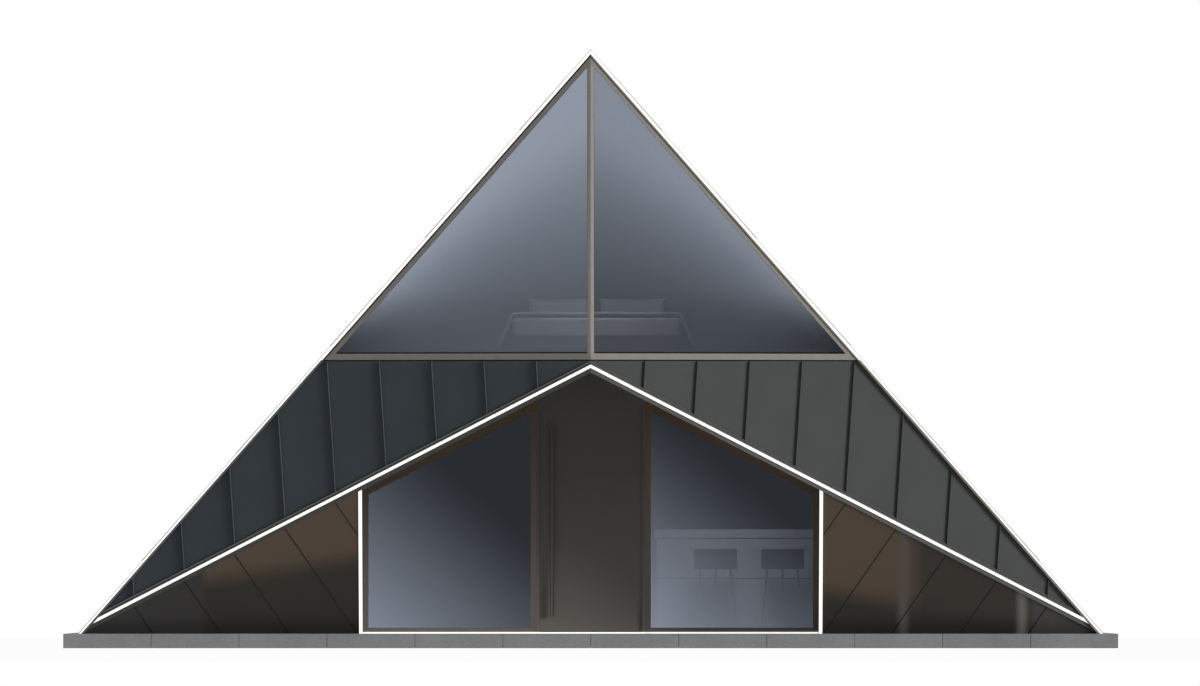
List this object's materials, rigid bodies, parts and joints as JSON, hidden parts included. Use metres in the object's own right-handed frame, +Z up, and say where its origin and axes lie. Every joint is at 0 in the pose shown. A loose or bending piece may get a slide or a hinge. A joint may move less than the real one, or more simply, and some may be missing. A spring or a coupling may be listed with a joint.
{
  "type": "a-frame cabin",
  "caption": "Small A-frame cabin on a stone plinth, with a folded, forward-leaning glazed gable, lit roof edges, a recessed porch and an inward-opening door.",
  "frame": {"origin": "centre of the plinth's underside", "axes": "+X to the right as seen from the front, +Y from the front to the rear, +Z up"},
  "size_m": [10.57, 10.1902, 5.954],
  "materials": {
    "joinery": "satin",
    "white_diffuser": "matte",
    "frame_metal": "satin",
    "black_metal": "satin",
    "entry_metal": "satin",
    "door_panel": "satin",
    "bedding": "matte",
    "dark_metal": "satin",
    "glass": "gloss",
    "boards": "satin",
    "steel": "satin",
    "stone": "matte",
    "soffit_metal": "satin",
    "wall_board": "matte"
  },
  "bodies": {
    "root": {"bed_frame": "joinery", "chevron_light": "white_diffuser", "chevron_trim": "frame_metal", "counter": "joinery", "door_head_panel": "entry_metal", "door_post_left": "entry_metal", "door_post_right": "entry_metal", "duvet": "bedding", "facade_panel_left": "dark_metal", "facade_panel_right": "dark_metal", "gable_frame": "frame_metal", "gable_glass": "glass", "gable_mullion": "frame_metal", "gable_transom": "frame_metal", "ground_floor": "boards", "hinge_pins": "steel", "loft_floor": "boards", "mattress": "bedding", "pillows": "bedding", "plinth": "stone", "porch_ceiling": "soffit_metal", "porch_light": "white_diffuser", "porch_wall_left": "wall_board", "porch_wall_right": "wall_board", "rear_glass": "glass", "rear_wall": "dark_metal", "rear_window_frame": "frame_metal", "ridge_cap": "dark_metal", "roof_cladding_left": "dark_metal", "roof_cladding_right": "dark_metal", "roof_panel_left": "wall_board", "roof_panel_right": "wall_board", "sill_light": "white_diffuser", "soffit_left": "soffit_metal", "soffit_right": "soffit_metal", "stools": "black_metal", "threshold": "entry_metal", "verge_light": "white_diffuser", "verge_trim": "dark_metal", "window_frame_left": "entry_metal", "window_frame_right": "entry_metal", "window_glass": "glass"},
    "door": {"door_leaf": "door_panel", "door_handle": "black_metal", "hinge_knuckles": "steel"}
  },
  "joints": [
    {"name": "door_swing", "type": "hinge", "parent": "root", "child": "door", "pos_m": [0.539, -2.744, 1.295], "axis": [0, 0, -1], "range_deg": [0, 90]}
  ]
}
